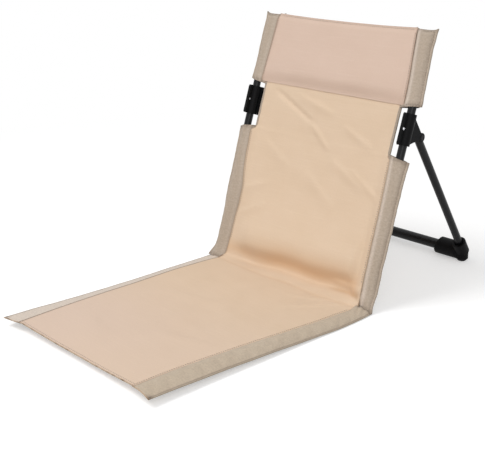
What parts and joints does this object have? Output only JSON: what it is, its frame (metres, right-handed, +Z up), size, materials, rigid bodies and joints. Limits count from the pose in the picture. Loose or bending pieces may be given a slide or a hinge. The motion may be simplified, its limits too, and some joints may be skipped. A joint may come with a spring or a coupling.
{
  "type": "folding camping chair",
  "caption": "Floor-level folding camping chair with a cloth seat on the ground, a reclined cloth back on steel tubes and a fold-out rear stand.",
  "frame": {"origin": "on the floor, in the middle of the chair's outline seen from above", "axes": "+X across the chair, -Y to the seat's front edge, +Y to the rear stand, +Z up"},
  "size_m": [0.4, 0.8155, 0.464],
  "materials": {
    "sand_cloth": "matte woven cloth",
    "khaki_cloth": "matte woven cloth",
    "black_tube": "satin powder coat",
    "black_plastic": "fine moulded grain",
    "rivet_steel": "bright zinc",
    "black_pin": "black oxide"
  },
  "bodies": {
    "backrest": {"back_panel": "sand_cloth", "headrest_panel": "sand_cloth", "back_tube_left": "black_tube", "back_tube_right": "black_tube", "bracket_body_left": "black_plastic", "bracket_body_right": "black_plastic", "bracket_cap_left": "black_plastic", "bracket_cap_right": "black_plastic", "clamp_rivet_left": "rivet_steel", "clamp_rivet_right": "rivet_steel", "pivot_pin_left": "black_pin", "pivot_pin_right": "black_pin", "upper_sleeve_left": "khaki_cloth", "upper_sleeve_right": "khaki_cloth", "lower_sleeve_left": "khaki_cloth", "lower_sleeve_right": "khaki_cloth"},
    "rear_stand": {"cross_bar": "black_tube", "leg_left": "black_tube", "leg_right": "black_tube", "leg_cap_left": "black_plastic", "leg_cap_right": "black_plastic", "foot_left": "black_plastic", "foot_right": "black_plastic"},
    "seat": {"seat_panel": "sand_cloth", "front_hem": "khaki_cloth", "seat_band_left": "khaki_cloth", "seat_band_right": "khaki_cloth"}
  },
  "joints": [
    {"name": "stand_fold", "type": "hinge", "parent": "backrest", "child": "rear_stand", "pos_m": [0, 0.21846, 0.2767], "axis": [-1, 0, 0], "range_deg": [0, 56]},
    {"name": "seat_fold", "type": "hinge", "parent": "backrest", "child": "seat", "pos_m": [0, 0.0604, 0.0096], "axis": [-1, 0, 0], "range_deg": [0, 105]}
  ]
}
